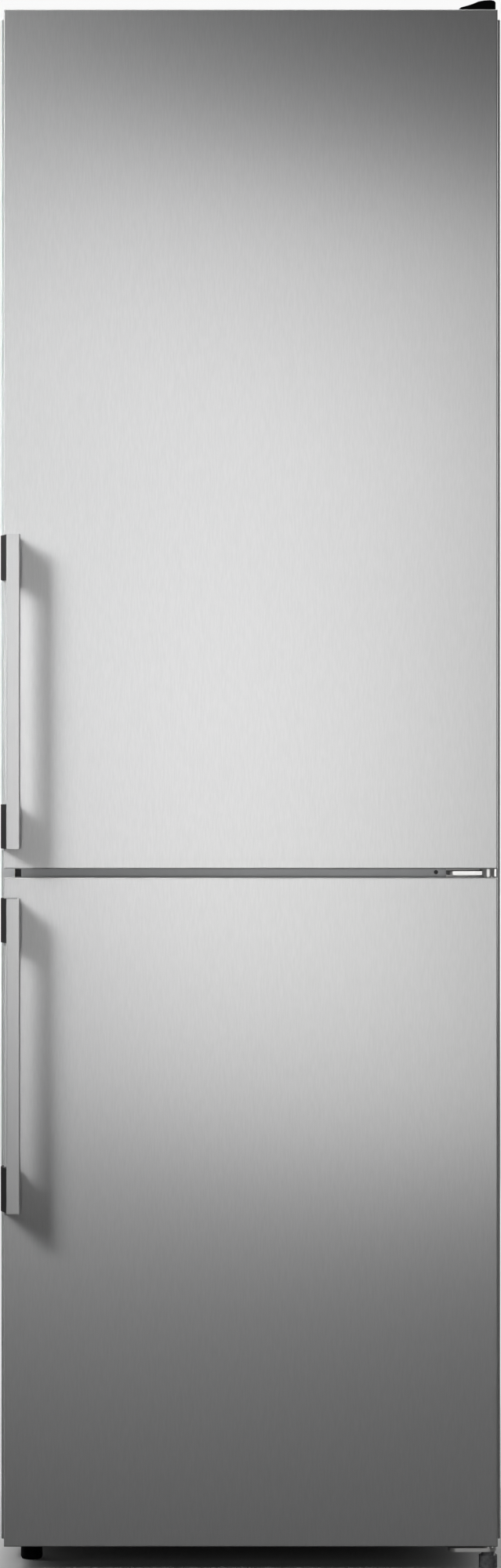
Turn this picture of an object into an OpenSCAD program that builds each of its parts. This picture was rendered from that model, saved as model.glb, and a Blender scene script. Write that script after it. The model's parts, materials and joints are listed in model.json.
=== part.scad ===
// Free-standing fridge freezer: fridge above, freezer below, both doors hinged on the right.
// Millimetres. +Z is up, the doors face -Y, and the origin is on the floor under the middle of the outline.

/* [Cabinet] */
// Width over the side panels
cabinet_w = 595; // [580:1:640]
// Height from the base sheet to the top sheet
cabinet_h = 1812; // [1760:1:1900]
// Depth from the front flange to the rear panel
cabinet_d = 545; // [535:1:600]
// Clearance between the floor and the base sheet
ground_gap = 25.5; // [24.5:0.5:34]
// Thickness of the painted steel sheet
sheet_t = 1; // [0.8:0.1:1.2]
// Width of the steel flange that frames the front
flange_w = 16; // [14:0.5:17]
// Bend radius of the steel edges
bend_r = 1.5; // [1.3:0.1:4]

/* [Insulation] */
// Wall beside the fridge compartment
side_wall = 52; // [48:1:56]
// Wall beside the freezer compartment
freezer_side_wall = 60; // [56:1:66]
// Wall over the fridge compartment
top_wall = 60; // [50:1:75]
// Wall under the freezer compartment
floor_wall = 60; // [50:1:70]
// Wall between the two compartments
mid_wall = 66; // [62:1:76]
// Wall behind both compartments
rear_wall = 60; // [50:1:66]
// Thickness of the white inner liners
liner_t = 1.5; // [1.2:0.1:2]
// Corner radius of both compartments
liner_r = 18; // [10:1:22]

/* [Rail between the doors] */
// Thickness of the gray rail
rail_t = 6; // [4:0.5:10]
// Width of each end piece of the rail
rail_end_w = 71; // [40:1:120]
// Width of the groove beside each flange
groove_w = 7.7; // [4:0.1:10]
// Depth of that groove
groove_d = 4.5; // [2:0.1:5]
// Diameter of the spare screw hole in the right end piece
spare_hole_d = 5; // [3:0.5:6]
// Distance from the end piece's seam to that hole
spare_hole_inset = 10.5; // [6:0.5:16]

/* [Doors] */
// Thickness of a door from its steel face to its back
door_t = 60; // [54:1:66]
// Height of the freezer door
freezer_door_h = 787; // [740:1:820]
// Gap between the two doors
door_gap = 10.4; // [9.8:0.2:13]
// How far a door's edge stands in from the cabinet's side
door_inset = 7; // [5:0.5:9]
// Gap between the freezer door and the level of the base sheet
door_base_gap = 3; // [2.4:0.1:4]
// Gap between the fridge door and the level of the top sheet
door_top_gap = 0.5; // [0.4:0.1:2]
// Space that the gasket fills between a door and the cabinet
gasket_gap = 12; // [10:0.5:14]
// Width of the gasket's foot
gasket_w = 13; // [12:0.5:14]
// Distance from a door's edge to the gasket
gasket_inset = 12; // [11.5:0.5:14]
// Width of the steel that folds in round a door's back
return_w = 14; // [8:1:18]
// How far the ridge round the inside of a door stands in
ridge_d = 30; // [26:1:34]
// Width of that ridge
ridge_w = 22; // [16:1:24]
// Space between that ridge and the compartment's walls
ridge_gap = 14; // [12:1:18]

/* [Handles] */
// Length of a handle bar
handle_l = 368; // [250:1:450]
// Width of a handle bar
handle_w = 16; // [14:0.5:22]
// Thickness of a handle bar
handle_t = 8; // [6:0.5:12]
// Reach of a bar's face from the door
handle_reach = 36; // [32:0.5:50]
// How far a bar stands in from the door's edge
handle_inset = 5; // [3:0.5:9]
// Corner radius of a bar
handle_r = 1.5; // [0.5:0.1:2.5]
// Distance from the gap between the doors to the nearest end of a bar
handle_end = 24; // [18:0.5:60]
// Height of a handle bracket
bracket_l = 52; // [35:1:70]
// How far a bracket wraps back along the door's side
bracket_wrap = 24; // [14:1:34]
// Thickness of a bracket beside the door
bracket_t = 3.6; // [2:0.1:4]
// Width of a bracket behind the bar
bracket_w = 11; // [8:0.5:13]

/* [Hinges] */
// Diameter of the upper and middle hinge pins
pin_d = 10; // [8:0.2:11]
// Diameter of the hollow bottom pin
low_pin_d = 12; // [11.5:0.1:12.5]
// Length of a pin inside a door
pin_l = 12; // [9:0.5:14]
// Distance from a pin's axis to the door's edge
pin_inset = 10.5; // [10.5:0.5:14]
// Distance from a pin's axis to the door's face
pin_depth = 18; // [16:0.5:22]
// Radial clearance of a pin in its bush
pin_play = 0.08; // [0.05:0.01:0.1]
// Outer diameter of a door bush
bush_d = 18; // [17:0.5:18]
// Length of a door bush
bush_l = 17; // [16:0.5:24]
// Thickness of the middle and bottom hinge plates
plate_t = 4.5; // [3:0.1:5.5]
// Thickness of the top hinge plate and of the middle hinge's tab
thin_plate_t = 3; // [2:0.1:4]
// Length of the middle and bottom plates to the left of the pins
plate_w = 47; // [40:1:56]
// Length of the top and bottom plates behind the cabinet's front
plate_l = 62; // [55:1:80]
// Radius of the plates round the pins
eye_r = 9.5; // [8.5:0.1:9.5]
// Height of the middle hinge's tab
tab_h = 24; // [22:1:28]
// Diameter of the hinge screws
screw_d = 4; // [3:0.2:4.4]
// Length of the hinge screws behind their plates
screw_l = 16; // [10:1:20]
// Width of the hinge cover
cover_w = 44.5; // [44:0.5:56]
// Height of the hinge cover over the top sheet
cover_h = 12; // [11:0.5:20]
// Wall of the hinge cover
cover_t = 2; // [1.5:0.1:2.5]

/* [Feet] */
// Travel of a levelling foot
foot_travel = 8; // [4:0.5:10]
// Diameter of the left foot
foot_d = 26; // [22:0.5:30]
// Diameter of the right foot's nut
foot_nut_d = 21.6; // [18:0.2:24]
// Diameter of a foot's screw
foot_screw_d = 8; // [6:0.2:8]
// Diameter of the rear rollers
roller_d = 22; // [18:0.5:22]
// Width of the rear rollers
roller_w = 14; // [10:0.5:20]

/* [Shelves and drawers] */
// Thickness of the glass shelves
glass_t = 4; // [3:0.5:6]
// Number of adjustable shelves in the fridge
shelf_n = 3; // [2:1:4]
// Height of the salad crisper
crisper_h = 184; // [150:1:200]
// Height of the chiller drawer above it
chiller_h = 95; // [80:1:110]
// Wall of the drawers and bins
tray_t = 2.5; // [1.8:0.1:3.5]
// Thickness of a drawer's front
front_t = 6; // [4:0.5:8]
// Height of the grip notch in a drawer's front
notch_h = 26; // [20:1:34]
// Width of the ribs that carry the shelves
rib_w = 8; // [6:0.5:10]
// Height of those ribs
rib_h = 5; // [4:0.5:7]
// Space left between the shelves and the door bins
shelf_setback = 18; // [16:1:28]
// Space left between the freezer drawers and the door's ridge
drawer_setback = 25; // [20:1:40]
// Thickness of the trim on a shelf's front edge
trim_t = 8; // [5:0.5:10]

/* [Door bins] */
// Depth of a bin
bin_d = 100; // [80:1:104]
// Height of the upper bins
bin_h = 72; // [55:1:95]
// Height of the bottle bin at the bottom
bottle_bin_h = 110; // [90:1:130]
// Height of a bin's ledges over its floor
ledge_z = 26; // [20:1:34]
// Width of the lugs that carry the bins
lug_w = 5; // [4:0.5:6]

/* [Machine bay] */
// Height of the compressor bay
bay_h = 215; // [210:1:222]
// Depth of the compressor bay
bay_d = 190; // [180:1:200]
// Diameter of the compressor
compressor_d = 146; // [130:1:150]
// Height of the compressor's shell
compressor_h = 132; // [120:1:136]
// Height of the rubber mounts
mount_h = 12; // [8:0.5:14]
// Height of the drain pan
pan_h = 34; // [24:1:38]

/* [Cooling circuit] */
// Number of passes of the condenser tube
pass_n = 18; // [12:2:20]
// Distance between the condenser's passes
pass_pitch = 60; // [50:1:62]
// Diameter of the condenser tube
tube_d = 5; // [4:0.2:6]
// Diameter of the condenser wires
wire_d = 1.6; // [1:0.1:2]
// Number of wires on each face of the condenser
wire_n = 18; // [8:1:24]
// Depth of the wall spacers behind the rear panel
spacer_d = 35; // [32:1:50]
// Depth of the space for the evaporator
evaporator_d = 68; // [66:1:76]
// Number of tube rows in the evaporator
coil_n = 7; // [5:1:8]
// Number of fins on the evaporator
fin_n = 15; // [9:1:25]
// Diameter of the fan
fan_d = 100; // [80:1:104]

/* [Hidden] */
$fn = 48;
seat = 0.3;          // clearance under a loose piece, and of a part that moves past another
fit = 0.1;           // radial clearance of a screw, a shaft or an axle that turns
run_gap = 4;         // clearance over and beside a drawer
over = 1;            // how far a cutting shape runs past a face

// Levels above the floor
z_base = ground_gap;
z_top = z_base + cabinet_h;
z_freezer_door = [z_base + door_base_gap, z_base + door_base_gap + freezer_door_h];
z_fridge_door = [z_freezer_door[1] + door_gap, z_top - door_top_gap];
z_fridge_handle = [z_fridge_door[0] + handle_end, z_fridge_door[0] + handle_end + handle_l];
z_freezer_handle = [z_freezer_door[1] - handle_end - handle_l, z_freezer_door[1] - handle_end];
z_mid = z_freezer_door[1] + door_gap / 2;
z_fridge = [z_mid + mid_wall / 2, z_top - top_wall];
z_freezer = [z_base + floor_wall, z_mid - mid_wall / 2];
z_bay = z_base + bay_h;
z_step = z_bay + rear_wall;

// Planes from front to rear
overall_d = handle_reach + door_t + gasket_gap + cabinet_d + spacer_d;
y_door = -overall_d / 2 + handle_reach;
y_door_back = y_door + door_t;
y_cab = y_door_back + gasket_gap;
y_rear = y_cab + cabinet_d;
y_back = y_rear - rear_wall;
y_bay = y_rear - bay_d;
y_step = y_bay - rear_wall;

// Half widths
x_side = cabinet_w / 2;
x_flange = x_side - flange_w;
x_fridge = x_side - side_wall;
x_freezer = x_side - freezer_side_wall;
x_door = x_side - door_inset;
x_seam = x_flange - rail_end_w;

// Hinge axis and hinge screws
x_pin = x_door - pin_inset;
y_pin = y_door + pin_depth;
bush_hole_d = pin_d + 2 * pin_play;
low_bush_hole_d = low_pin_d + 2 * pin_play;
head_d = 2 * screw_d;
head_h = 0.6 * screw_d;
plate_r = 6;
eye_in = 3.5;
top_plate_x = [x_pin - plate_w / 2, x_pin + eye_r - eye_in];
low_plate_x = [x_pin - plate_w, x_pin + eye_r];
top_screws = [for (f = [0.24, 0.56, 0.88]) [x_pin - 1.25 * head_d, y_cab + f * plate_l]];
low_screws = [for (f = [0.25, 0.75]) [x_pin - f * plate_w, y_cab + plate_l - 1.75 * head_d]];
mid_screws = [for (f = [0.38, 0.8]) [x_pin - f * plate_w, z_mid - tab_h / 2 + 0.56 * head_d]];

// Feet and rollers
foot_hole_d = foot_screw_d + 2 * fit;
foot_screw_l = 2 * foot_screw_d;
foot_edge = 22.5;
foot_left = [-x_side + foot_edge + foot_d / 2, y_cab + foot_d / 2 + sheet_t];
axle_d = 5;
ear_t = 2;
ear_w = 18;
roller_x = x_fridge - roller_w;
roller_y = y_rear - 40;

// Shelves, drawers and bins
y_bin = y_door_back + seat;
y_shelf = y_bin + bin_d + shelf_setback;
duct_w = 130;
duct_d = 18;
duct_t = 3;
shelf_slack = 1.5;
shelf_rear = y_back - duct_d - shelf_slack;
corner_gap = rib_w + run_gap;
corner_in = max(0, liner_r - corner_gap);
corner_rise = liner_r - sqrt(liner_r * liner_r - corner_in * corner_in);
z_crisper = z_fridge[0] + corner_rise + seat;
z_crisper_shelf = z_crisper + crisper_h + run_gap;
z_chiller = z_crisper_shelf + glass_t + seat;
z_chiller_shelf = z_chiller + chiller_h + run_gap;
shelf_pitch = (z_fridge[1] - z_chiller_shelf) / (shelf_n + 1);
shelf_levels = concat([z_crisper_shelf], [for (i = [0 : shelf_n]) z_chiller_shelf + i * shelf_pitch]);
spare_levels = [for (i = [0 : shelf_n - 1]) z_chiller_shelf + (i + 0.5) * shelf_pitch];
x_fridge_tray = x_fridge - rib_w - run_gap;
x_freezer_tray = x_freezer - rib_w - run_gap;
drawer_n = 3;
drawer_pitch = (z_freezer[1] - z_freezer[0]) / drawer_n;
freezer_levels = [for (i = [1 : drawer_n - 1]) z_freezer[0] + i * drawer_pitch];
rear_gap = 6;
evaporator_cover_t = 4;
y_evaporator = y_back - evaporator_d;
y_drawer = y_door_back + ridge_d + drawer_setback;
drawer_rear = y_evaporator - evaporator_cover_t - rear_gap;
low_drawer_rear = y_step - rear_gap;
x_ridge = x_fridge - ridge_gap;
x_freezer_ridge = x_freezer - ridge_gap;
z_ridge = [z_fridge[0] + ridge_gap, z_fridge[1] - ridge_gap];
z_freezer_ridge = [z_freezer[0] + ridge_gap, z_freezer[1] - ridge_gap];
x_lug = x_ridge - ridge_w - lug_w;
x_bin = x_lug - 1;
bin_n = 4;
bin_pitch = (z_ridge[1] - z_ridge[0] - 2 * ridge_w) / bin_n;
z_bins = [for (i = [0 : bin_n - 1]) z_ridge[0] + ridge_w + 6 + i * bin_pitch];
lug_y = [y_door_back + 0.2 * ridge_d, y_door_back + 0.8 * ridge_d];
lug_h = 10;
ledge_h = 6;

// Control housing at the fridge's ceiling
housing_h = 30;
housing_w = 220;
housing_d = 154;
housing_gap = 6;
housing_y = [y_cab + ridge_d + housing_gap, y_cab + ridge_d + housing_gap + housing_d];
housing_r = 10;
knob_d = 38;
knob_h = 12;
knob_shaft_d = 6;
knob_shaft_l = 11;
knob_at = [housing_w / 2 - knob_d - 2, housing_y[0] + knob_d + 4];
lamp_w = 110;
lamp_x = [knob_at.x - knob_d / 2 - 31 - lamp_w, knob_at.x - knob_d / 2 - 31];
lamp_y = [housing_y[0] + 24, housing_y[1] - 24];
lamp_seat = 10;
lamp_drop = 8;
lamp_t = 2;
z_housing = z_fridge[1] - housing_h;

// Machine bay and cooling circuit
compressor_r = compressor_d / 2;
compressor_x = -70;
compressor_y = y_bay + bay_d / 2 + 3;
foot_plate_t = 3;
z_tray = z_base + 2 * sheet_t;
z_compressor = z_tray + mount_h + foot_plate_t;
seam_z = 0.62 * compressor_h;
stub_l = 14;
stub_y = 0.33 * compressor_r;
mount_x = 1.07 * compressor_r;
mount_y = 0.71 * compressor_r;
mount_d = 26;
suction_d = 8;
hot_z = 0.44 * compressor_h;
cold_z = 0.64 * compressor_h + suction_d;
y_condenser = y_rear + spacer_d / 2;
z_condenser = z_bay + pass_pitch;
x_condenser = x_side - 67;
x_riser = x_condenser + pass_pitch / 2 + 14;
condenser_tail = pass_pitch / 2;
z_tail = z_condenser - condenser_tail;
z_last = z_condenser + (pass_n - 1) * pass_pitch;
spacer_passes = [2, pass_n - 3];
spacer_w = 20;
spacer_h = 36;
x_spacer = x_condenser - spacer_w - 2;
coil_d = 8;
coil_pitch = 30;
fin_t = 1.2;
fin_edge = 14;
z_coil = z_step + coil_pitch + 4;
y_coil = y_back - evaporator_d / 2;
x_coil = x_freezer - 50;
z_fan = z_freezer[1] - 0.92 * fan_d;
fan_l = 18;
fan_shaft_d = 4;
motor_gap = 3;

// A box from its lowest corner to its highest corner
module span(a, b) {
    translate(a) cube(b - a);
}

// The children and their mirror image on the other side of the cabinet
module both_sides() {
    children();
    mirror([1, 0, 0]) children();
}

// Extrudes an outline of Z and Y along X
module along_x(x) {
    translate([x[1], 0, 0]) rotate([0, -90, 0]) linear_extrude(x[1] - x[0]) children();
}

// Extrudes an outline of X and Z along Y
module along_y(y) {
    translate([0, y[1], 0]) rotate([90, 0, 0]) linear_extrude(y[1] - y[0]) children();
}

// Extrudes an outline of X and Y along Z
module along_z(z) {
    translate([0, 0, z[0]]) linear_extrude(z[1] - z[0]) children();
}

// A round bar from point a to point b
module rod(a, b, d) {
    v = b - a;
    translate(a) rotate([0, acos(v.z / norm(v)), atan2(v.y, v.x)]) cylinder(d = d, h = norm(v));
}

// A pipe through a list of points, with a ball at each bend
module pipe(points, d) {
    for (i = [0 : len(points) - 2]) rod(points[i], points[i + 1], d);
    for (i = [1 : len(points) - 2]) translate(points[i]) sphere(d = d);
}

// A rectangle with four round corners
module round_rect(a, b, r) {
    translate([a.x + r, a.y]) square([b.x - a.x - 2 * r, b.y - a.y]);
    translate([a.x, a.y + r]) square([b.x - a.x, b.y - a.y - 2 * r]);
    for (x = [a.x + r, b.x - r], y = [a.y + r, b.y - r]) translate([x, y]) circle(r);
}

// A rectangle whose two corners on its second axis's low side are round
module low_rounded(a, b, r) {
    translate([a.x, a.y + r]) square([b.x - a.x, b.y - a.y - r]);
    translate([a.x + r, a.y]) square([b.x - a.x - 2 * r, 2 * r]);
    for (x = [a.x + r, b.x - r]) translate([x, a.y + r]) circle(r);
}

// The cabinet's outside, or its space inside the sheet when g is the sheet's thickness
module cabinet_form(g) {
    low = z_base - (g > 0 ? over : 0);
    intersection() {
        along_z([low, z_top - g])
            low_rounded([-x_side + g, y_cab + g], [x_side - g, y_rear + g], bend_r - g);
        along_y([y_cab, y_rear + g])
            mirror([0, 1]) low_rounded([-x_side + g, -z_top + g], [x_side - g, -low], bend_r - g);
    }
}

// The fridge compartment, grown by g on its closed sides
module fridge_space(y, g) {
    along_y([y, y_back + g])
        round_rect([-x_fridge - g, z_fridge[0] - g], [x_fridge + g, z_fridge[1] + g], liner_r + g);
}

// The freezer compartment with its step over the machine bay, grown by g on its closed sides
module freezer_space(y, g) {
    along_y([y, y_back + g])
        round_rect([-x_freezer - g, z_step - g], [x_freezer + g, z_freezer[1] + g], liner_r + g);
    along_y([y, y_step + g])
        round_rect([-x_freezer - g, z_freezer[0] - g], [x_freezer + g, z_freezer[1] + g], liner_r + g);
}

// The machine bay, grown by g on its closed sides
module bay_space(g) {
    span([-x_fridge - g, y_bay - g, z_base - over], [x_fridge + g, y_rear + over, z_bay + g]);
}

// The holes of the hinge screws in the cabinet
module screw_holes() {
    for (p = top_screws) translate([p.x, p.y, z_top - screw_l]) cylinder(d = screw_d, h = screw_l + over);
    for (p = low_screws) translate([p.x, p.y, z_base - over]) cylinder(d = screw_d, h = screw_l + over);
    for (p = mid_screws)
        translate([p.x, y_cab - over, p.y]) rotate([-90, 0, 0]) cylinder(d = screw_d, h = screw_l + over);
}

// The space that the left foot's screw needs in the base
module foot_pocket() {
    translate([foot_left.x, foot_left.y, z_base - over])
        cylinder(d = foot_hole_d, h = foot_screw_l + 2 * over);
}

// Painted sides and top, bent round the front into a flange
module cabinet_shell() {
    color("silver") difference() {
        cabinet_form(0);
        cabinet_form(sheet_t);
        span([-x_flange, y_cab - over, z_base - over], [x_flange, y_cab + 2 * over, z_top - flange_w]);
        screw_holes();
    }
}

// Rear sheet, open over the machine bay
module back_panel() {
    color("gainsboro") difference() {
        span([-x_side + sheet_t, y_rear - sheet_t, z_base], [x_side - sheet_t, y_rear, z_top - sheet_t]);
        bay_space(sheet_t);
    }
}

// Sheet under the cabinet, stepped up round the machine bay
module base_plate() {
    x_in = x_side - sheet_t;
    color("gainsboro") difference() {
        union() {
            span([-x_in, y_cab + sheet_t, z_base], [x_in, y_rear - sheet_t, z_base + sheet_t]);
            span([-x_flange, y_cab, z_base], [x_flange, y_cab + sheet_t, z_base + flange_w]);
            intersection() {
                bay_space(sheet_t);
                span([-x_in, y_bay - over, z_base], [x_in, y_rear, z_bay + over]);
            }
        }
        bay_space(0);
        foot_pocket();
        screw_holes();
    }
}

// Insulation between the sheets and the liners
module cabinet_foam() {
    color("khaki") difference() {
        intersection() {
            cabinet_form(sheet_t);
            span([-x_side, y_cab, z_base + sheet_t], [x_side, y_rear - sheet_t, z_top]);
        }
        span([-x_flange, y_cab, z_base], [x_flange, y_cab + liner_t, z_top - flange_w]);
        span([-x_flange, y_cab, z_freezer[1]], [x_flange, y_cab + rail_t, z_fridge[0]]);
        fridge_space(y_cab, liner_t);
        freezer_space(y_cab, liner_t);
        bay_space(sheet_t);
        foot_pocket();
        screw_holes();
    }
}

// A pair of ribs that carries a shelf
module ribs(x, y, levels) {
    for (z = levels) both_sides() span([x - rib_w, y[0], z - rib_h], [x + liner_t, y[1], z]);
}

// White lining of the fridge compartment, with the shelf ribs
module fridge_liner() {
    color("white") {
        difference() {
            union() {
                fridge_space(y_cab, liner_t);
                span([-x_flange, y_cab, z_fridge[0] - liner_t],
                     [x_flange, y_cab + liner_t, z_top - flange_w]);
            }
            fridge_space(y_cab - over, 0);
        }
        intersection() {
            ribs(x_fridge, [y_shelf, shelf_rear], concat(shelf_levels, spare_levels));
            fridge_space(y_cab, liner_t / 2);
        }
    }
}

// White lining of the freezer compartment, with the shelf ribs
module freezer_liner() {
    color("white") {
        difference() {
            union() {
                freezer_space(y_cab, liner_t);
                span([-x_flange, y_cab, z_base + flange_w],
                     [x_flange, y_cab + liner_t, z_freezer[1] + liner_t]);
            }
            freezer_space(y_cab - over, 0);
        }
        intersection() {
            ribs(x_freezer, [y_drawer, drawer_rear], freezer_levels);
            freezer_space(y_cab, liner_t / 2);
        }
    }
}

// Middle piece of the gray rail between the doors
module mid_rail() {
    color("gray")
        span([-x_seam, y_cab, z_freezer[1] + liner_t], [x_seam, y_cab + rail_t, z_fridge[0] - liner_t]);
}

// End pieces of the rail, with a groove beside the flange
module mid_rail_ends() {
    color("gray") difference() {
        both_sides() difference() {
            span([x_seam, y_cab, z_freezer[1] + liner_t], [x_flange, y_cab + rail_t, z_fridge[0] - liner_t]);
            span([x_flange - groove_w, y_cab - over, z_freezer[1]],
                 [x_flange + over, y_cab + groove_d, z_fridge[0]]);
        }
        translate([x_seam + spare_hole_inset, y_cab - over, z_mid]) rotate([-90, 0, 0])
            cylinder(d = spare_hole_d, h = groove_d + over);
        screw_holes();
    }
}

// Steel tray across the machine bay, with ears for the rear rollers
module machine_tray() {
    axle_z = roller_d / 2;
    ear_x = roller_w / 2 + seat;
    color("silver") difference() {
        union() {
            span([-x_fridge, y_bay, z_base], [x_fridge, y_rear, z_tray]);
            for (x = [-roller_x, roller_x], s = [-ear_x - ear_t, ear_x])
                span([x + s, roller_y - ear_w / 2, axle_z - axle_d],
                     [x + s + ear_t, roller_y + ear_w / 2, z_tray]);
        }
        for (x = [-roller_x, roller_x])
            rod([x - roller_w, roller_y, axle_z], [x + roller_w, roller_y, axle_z], axle_d + 2 * fit);
    }
}

// Sealed compressor on its mounting plate, with the stubs of its two pipes
module compressor() {
    edge_r = 0.4 * compressor_r;
    seam_w = 4;
    seam_h = 5;
    color("black") translate([compressor_x, compressor_y, z_compressor]) {
        rotate_extrude() {
            square([compressor_r - edge_r, compressor_h]);
            translate([0, edge_r]) square([compressor_r, compressor_h - 2 * edge_r]);
            intersection() {
                square([compressor_r, compressor_h]);
                for (z = [edge_r, compressor_h - edge_r]) translate([compressor_r - edge_r, z]) circle(edge_r);
            }
        }
        translate([0, 0, seam_z]) cylinder(r = compressor_r + seam_w, h = seam_h);
        along_z([-foot_plate_t, 0])
            round_rect([-mount_x - mount_d / 2, -mount_y - mount_d / 2],
                       [mount_x + mount_d / 2, mount_y + mount_d / 2], mount_d / 2);
        stub([-stub_y, hot_z], tube_d);
        stub([stub_y, cold_z], suction_d);
    }
}

// A pipe stub on the compressor's left side
module stub(at, d) {
    rod([-0.9 * compressor_r, at.x, at.y], [-compressor_r - stub_l, at.x, at.y], d);
}

// Rubber mounts between the tray and the compressor
module compressor_mounts() {
    waist = 4;
    waist_h = mount_h / 3;
    color("dimgray") for (x = [-mount_x, mount_x], y = [-mount_y, mount_y])
        translate([compressor_x + x, compressor_y + y, z_tray]) {
            cylinder(d = mount_d, h = waist_h);
            cylinder(d = mount_d - waist, h = mount_h);
            translate([0, 0, 2 * waist_h]) cylinder(d = mount_d, h = waist_h);
        }
}

// Cover of the compressor's terminals
module terminal_box() {
    box_w = 64;
    box_d = 34;
    box_h = 0.45 * compressor_h;
    box_z = 0.13 * compressor_h;
    color("dimgray") translate([compressor_x, compressor_y, z_compressor]) difference() {
        span([0, -box_w / 2, box_z], [compressor_r + box_d, box_w / 2, box_z + box_h]);
        translate([0, 0, -over]) cylinder(r = compressor_r, h = compressor_h);
    }
}

// Hot gas pipe, suction pipe, and the drier with its pipes
module refrigerant_pipes() {
    x_stub = compressor_x - compressor_r - stub_l;
    y_hot = compressor_y - stub_y;
    y_cold = compressor_y + stub_y;
    z_hot = z_compressor + hot_z;
    z_cold = z_compressor + cold_z;
    z_line = z_bay - 14;
    drier_x = compressor_x + 2 * compressor_r + 70;
    drier_y = y_rear - 40;
    drier_rise = 60;
    drier_l = 90;
    drier_z = [z_tray + drier_rise, z_tray + drier_rise + drier_l];
    drier_d = 18;
    capillary_d = 3;
    capillary_x = drier_x + 30;
    z_turn = drier_z[0] - 14;
    color("peru") {
        pipe([[x_stub, y_hot, z_hot], [x_stub - 34, y_hot, z_hot], [x_stub - 34, y_condenser, z_hot],
              [-x_riser, y_condenser, z_hot], [-x_riser, y_condenser, z_tail]], tube_d);
        pipe([[x_stub, y_cold, z_cold], [x_stub - stub_l, y_cold, z_cold], [x_stub - stub_l, y_cold, z_bay]],
             suction_d);
        pipe([[-x_condenser, y_condenser, z_tail], [-x_condenser, y_condenser, z_line],
              [drier_x, y_condenser, z_line], [drier_x, drier_y, z_line], [drier_x, drier_y, drier_z[1]]],
             tube_d);
        translate([drier_x, drier_y, drier_z[0]]) cylinder(d = drier_d, h = drier_z[1] - drier_z[0]);
        pipe([[drier_x, drier_y, drier_z[0]], [drier_x, drier_y, z_turn], [capillary_x, drier_y, z_turn],
              [capillary_x, drier_y, z_bay]], capillary_d);
    }
}

// Pan on the compressor that dries up the melt water
module drain_pan() {
    pan_x = 1.23 * compressor_r;
    pan_y = 0.9 * compressor_r;
    pan_r = 12;
    color("dimgray") translate([compressor_x, compressor_y, z_compressor + compressor_h])
        tray([-pan_x, -pan_y, 0], [pan_x, pan_y, pan_h], tray_t, pan_r);
}

// Open tray from its lowest to its highest outer corner
module tray(a, b, wall, r) {
    difference() {
        along_z([a.z, b.z]) round_rect([a.x, a.y], [b.x, b.y], r);
        along_z([a.z + wall, b.z + over])
            round_rect([a.x + wall, a.y + wall], [b.x - wall, b.y - wall], r - wall);
    }
}

// Half of a round pipe bend in the XZ plane, open to +X
module u_bend(r, d) {
    rotate([90, 0, 0]) rotate([0, 0, 90]) rotate_extrude(angle = 180) translate([r, 0]) circle(d = d);
}

// Passes of a serpentine tube along X, joined by bends at alternate ends
module serpentine(x, z, n, pitch, d) {
    for (i = [0 : n - 1]) rod([-x, 0, z + i * pitch], [x, 0, z + i * pitch], d);
    for (i = [0 : n - 2]) translate([0, 0, z + (i + 0.5) * pitch]) mirror([i % 2 == 0 ? 1 : 0, 0, 0])
        translate([-x, 0, 0]) u_bend(pitch / 2, d);
}

// Serpentine tube behind the rear panel, with the riser that feeds its top pass
module condenser_tube() {
    z_over = z_last + 0.55 * pass_pitch;
    color("black") translate([0, y_condenser, 0]) {
        serpentine(x_condenser, z_condenser, pass_n, pass_pitch, tube_d);
        pipe([[-x_condenser + over, 0, z_condenser], [-x_condenser, 0, z_condenser], [-x_condenser, 0, z_tail]],
             tube_d);
        pipe([[-x_riser, 0, z_tail], [-x_riser, 0, z_over], [-x_condenser, 0, z_over],
              [-x_condenser, 0, z_last], [-x_condenser + over, 0, z_last]], tube_d);
    }
}

// Upright wires on both faces of the condenser tube
module condenser_wires() {
    wire_x = x_spacer - spacer_w;
    wire_end = 14;
    wire_y = (tube_d + wire_d) / 2;
    color("black") for (i = [0 : wire_n - 1], y = [-wire_y, wire_y])
        translate([(2 * i / (wire_n - 1) - 1) * wire_x, y_condenser + y, z_condenser - wire_end])
            cylinder(d = wire_d, h = z_last - z_condenser + 2 * wire_end, $fn = 16);
}

// Spacers that hold the condenser and keep the cabinet off the wall
module wall_spacers() {
    color("black") for (i = spacer_passes, x = [-x_spacer, x_spacer])
        translate([x, 0, z_condenser + i * pass_pitch]) difference() {
            span([-spacer_w / 2, y_rear, -spacer_h / 2], [spacer_w / 2, y_rear + spacer_d, spacer_h / 2]);
            rod([-spacer_w, y_condenser, 0], [spacer_w, y_condenser, 0], tube_d);
        }
}

// Finned coil behind the freezer's rear cover
module evaporator() {
    fin_d = evaporator_d - 22;
    fin_z = [z_coil - fin_edge, z_coil + (coil_n - 1) * coil_pitch + fin_edge];
    x_fin = x_coil - 6;
    color("silver") translate([0, y_coil, 0]) {
        serpentine(x_coil, z_coil, coil_n, coil_pitch, coil_d);
        difference() {
            for (i = [0 : fin_n - 1]) {
                x = (2 * i / (fin_n - 1) - 1) * x_fin;
                rear = i == 0 || i == fin_n - 1 ? evaporator_d / 2 : fin_d / 2;
                span([x - fin_t / 2, -fin_d / 2, fin_z[0]], [x + fin_t / 2, rear, fin_z[1]]);
            }
            for (i = [0 : coil_n - 1]) translate([0, 0, z_coil + i * coil_pitch])
                rod([-x_coil, 0, 0], [x_coil, 0, 0], coil_d + 2 * fit);
        }
    }
}

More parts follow.
